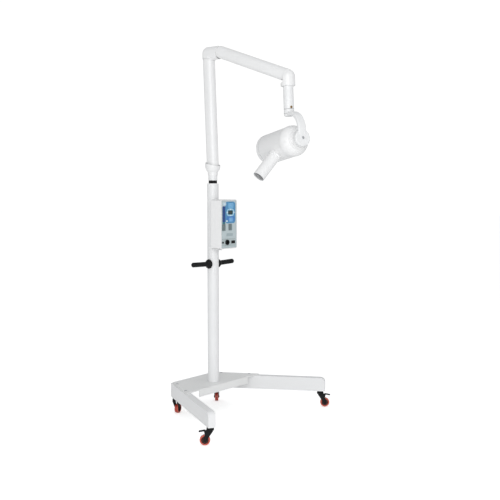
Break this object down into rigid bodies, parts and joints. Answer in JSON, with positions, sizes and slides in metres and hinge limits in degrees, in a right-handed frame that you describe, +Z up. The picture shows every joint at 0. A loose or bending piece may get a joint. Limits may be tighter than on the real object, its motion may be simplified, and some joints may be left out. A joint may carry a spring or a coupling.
{
  "type": "mobile x-ray machine",
  "caption": "Dental-type x-ray machine on a castored V stand: column with control box, spring-balanced folding arm, tilting tube head with a beam cone.",
  "frame": {"origin": "on the floor, under the column's axis", "axes": "+Z up along the column; the legs and the arm reach towards -Y; +X is to the right seen from the control panel's side looking along +Y"},
  "size_m": [0.98, 0.7963, 1.9245],
  "materials": {
    "white_paint": "satin powder coat",
    "grey_paint": "satin powder coat",
    "white_plastic": "moulded, satin",
    "black_plastic": "moulded, matt",
    "red_wheel": "translucent moulded tread",
    "zinc_steel": "zinc plated",
    "spring_steel": "oiled wire",
    "arm_channel": "mill finish",
    "panel_film": "printed membrane",
    "dark_glass": "smoked",
    "circuit_board": "solder mask",
    "grey_rubber": "matt key rubber",
    "beam_aluminium": "turned",
    "tube_glass": "clear",
    "winding_core": "varnished"
  },
  "bodies": {
    "stand": {"base_bolts": "zinc_steel", "caster_stems": "black_plastic", "column_bush": "black_plastic", "column_socket": "grey_paint", "column_tube": "white_paint", "control_board": "circuit_board", "control_bracket": "white_paint", "control_front_shell": "white_plastic", "control_overlay": "panel_film", "control_rear_shell": "white_plastic", "cross_tubes": "grey_paint", "deck_plate": "grey_paint", "display_window": "dark_glass", "fuse_holder": "black_plastic", "hand_switch_socket": "black_plastic", "handle_grips": "black_plastic", "leg_end_caps": "white_paint", "leg_left": "white_paint", "leg_right": "white_paint", "power_inlet": "black_plastic", "switch_frame": "black_plastic"},
    "arm_swivel": {"swivel_post": "white_paint", "shoulder_cover": "white_plastic"},
    "lower_arm": {"lower_arm_frame": "arm_channel", "lower_arm_cover_left": "white_plastic", "lower_arm_cover_right": "white_plastic", "lower_arm_pins": "zinc_steel", "lower_arm_spring": "spring_steel"},
    "lower_link": {"lower_arm_link": "zinc_steel"},
    "elbow": {"elbow_block": "arm_channel", "elbow_cover": "white_plastic"},
    "upper_arm": {"upper_arm_frame": "arm_channel", "upper_arm_cover_left": "white_plastic", "upper_arm_cover_right": "white_plastic", "upper_arm_pins": "zinc_steel", "upper_arm_spring": "spring_steel"},
    "upper_link": {"upper_arm_link": "zinc_steel"},
    "wrist": {"wrist_block": "arm_channel", "wrist_cover": "white_plastic", "drop_tube": "white_paint"},
    "yoke": {"yoke_arm": "white_paint"},
    "tube_head": {"head_housing": "white_plastic", "head_end_cap": "white_plastic", "cone": "white_plastic", "beam_filter": "beam_aluminium", "head_transformer": "winding_core", "xray_insert": "tube_glass"},
    "power_rocker": {"rocker_switch": "black_plastic"},
    "left_key": {"key_left": "grey_rubber"},
    "right_key": {"key_right": "grey_rubber"},
    "caster_front_left": {"fork_front_left": "black_plastic"},
    "wheel_body_front_left": {"wheel_front_left": "red_wheel"},
    "brake_left": {"brake_lever_left": "black_plastic"},
    "caster_front_right": {"fork_front_right": "black_plastic"},
    "wheel_body_front_right": {"wheel_front_right": "red_wheel"},
    "brake_right": {"brake_lever_right": "black_plastic"},
    "caster_rear_left": {"fork_rear_left": "black_plastic"},
    "wheel_body_rear_left": {"wheel_rear_left": "red_wheel"},
    "caster_rear_right": {"fork_rear_right": "black_plastic"},
    "wheel_body_rear_right": {"wheel_rear_right": "red_wheel"}
  },
  "joints": [
    {"name": "arm_swivel_turn", "type": "hinge", "parent": "stand", "child": "arm_swivel", "pos_m": [0, 0, 1.2], "axis": [0, 0, 1], "range_deg": [-150, 150]},
    {"name": "shoulder", "type": "hinge", "parent": "arm_swivel", "child": "lower_arm", "pos_m": [0, 0, 1.314], "axis": [1, 0, 0], "range_deg": [-10, 40]},
    {"name": "lower_link_pivot", "type": "hinge", "parent": "arm_swivel", "child": "lower_link", "pos_m": [0, -0.01299, 1.31459], "axis": [1, 0, 0], "range_deg": [-10, 40]},
    {"name": "elbow_level", "type": "hinge", "parent": "lower_arm", "child": "elbow", "pos_m": [0, 0.02443, 1.85195], "axis": [1, 0, 0], "range_deg": [-40, 10]},
    {"name": "boom", "type": "hinge", "parent": "elbow", "child": "upper_arm", "pos_m": [0, -0.05957, 1.89095], "axis": [1, 0, 0], "range_deg": [-30, 30]},
    {"name": "upper_link_pivot", "type": "hinge", "parent": "elbow", "child": "upper_link", "pos_m": [0, -0.06391, 1.9032], "axis": [1, 0, 0], "range_deg": [-30, 30]},
    {"name": "wrist_level", "type": "hinge", "parent": "upper_arm", "child": "wrist", "pos_m": [0, -0.48376, 1.74073], "axis": [1, 0, 0], "range_deg": [-30, 30]},
    {"name": "yoke_turn", "type": "hinge", "parent": "wrist", "child": "yoke", "pos_m": [0, -0.4964, 1.57597], "axis": [0, 0.0523, 0.9986], "range_deg": [-170, 170]},
    {"name": "head_tilt", "type": "hinge", "parent": "yoke", "child": "tube_head", "pos_m": [0, -0.50467, 1.41819], "axis": [0.4104, 0.9037, -0.1224], "range_deg": [-100, 130]},
    {"name": "caster_turn_front_left", "type": "hinge", "parent": "stand", "child": "caster_front_left", "pos_m": [-0.44883, -0.38104, 0.0787], "axis": [0, 0, 1], "continuous": true},
    {"name": "wheel_spin_front_left", "type": "hinge", "parent": "caster_front_left", "child": "wheel_body_front_left", "pos_m": [-0.46457, -0.36162, 0.025], "axis": [-0.7771, -0.6293, 0], "continuous": true},
    {"name": "brake_left_press", "type": "hinge", "parent": "caster_front_left", "child": "brake_left", "pos_m": [-0.45702, -0.37094, 0.0672], "axis": [-0.7771, -0.6293, 0], "range_deg": [0, 14]},
    {"name": "caster_turn_front_right", "type": "hinge", "parent": "stand", "child": "caster_front_right", "pos_m": [0.44883, -0.38104, 0.0787], "axis": [0, 0, 1], "continuous": true},
    {"name": "wheel_spin_front_right", "type": "hinge", "parent": "caster_front_right", "child": "wheel_body_front_right", "pos_m": [0.46457, -0.40047, 0.025], "axis": [0.7771, 0.6293, 0], "continuous": true},
    {"name": "brake_right_press", "type": "hinge", "parent": "caster_front_right", "child": "brake_right", "pos_m": [0.45702, -0.39115, 0.0672], "axis": [0.7771, 0.6293, 0], "range_deg": [0, 14]},
    {"name": "caster_turn_rear_left", "type": "hinge", "parent": "stand", "child": "caster_rear_left", "pos_m": [-0.16284, 0.12239, 0.0787], "axis": [0, 0, 1], "continuous": true},
    {"name": "wheel_spin_rear_left", "type": "hinge", "parent": "caster_rear_left", "child": "wheel_body_rear_left", "pos_m": [-0.13907, 0.13012, 0.025], "axis": [-0.309, 0.9511, 0], "continuous": true},
    {"name": "caster_turn_rear_right", "type": "hinge", "parent": "stand", "child": "caster_rear_right", "pos_m": [0.16284, 0.12239, 0.0787], "axis": [0, 0, 1], "continuous": true},
    {"name": "wheel_spin_rear_right", "type": "hinge", "parent": "caster_rear_right", "child": "wheel_body_rear_right", "pos_m": [0.18113, 0.13944, 0.025], "axis": [-0.682, 0.7314, 0], "continuous": true},
    {"name": "power_rock", "type": "hinge", "parent": "stand", "child": "power_rocker", "pos_m": [0.032, -0.108, 0.914], "axis": [0, 0, 1], "range_deg": [-12, 0]},
    {"name": "key_left_press", "type": "slide", "parent": "stand", "child": "left_key", "axis": [0, 1, 0], "range_m": [0, 0.0008], "stiffness_N_per_m": 300},
    {"name": "key_right_press", "type": "slide", "parent": "stand", "child": "right_key", "axis": [0, 1, 0], "range_m": [0, 0.0008], "stiffness_N_per_m": 300}
  ],
  "couplings": [
    {"joint": "lower_link_pivot", "follows": "shoulder", "ratio": 1},
    {"joint": "elbow_level", "follows": "shoulder", "ratio": -1},
    {"joint": "upper_link_pivot", "follows": "boom", "ratio": 1},
    {"joint": "wrist_level", "follows": "boom", "ratio": -1}
  ]
}
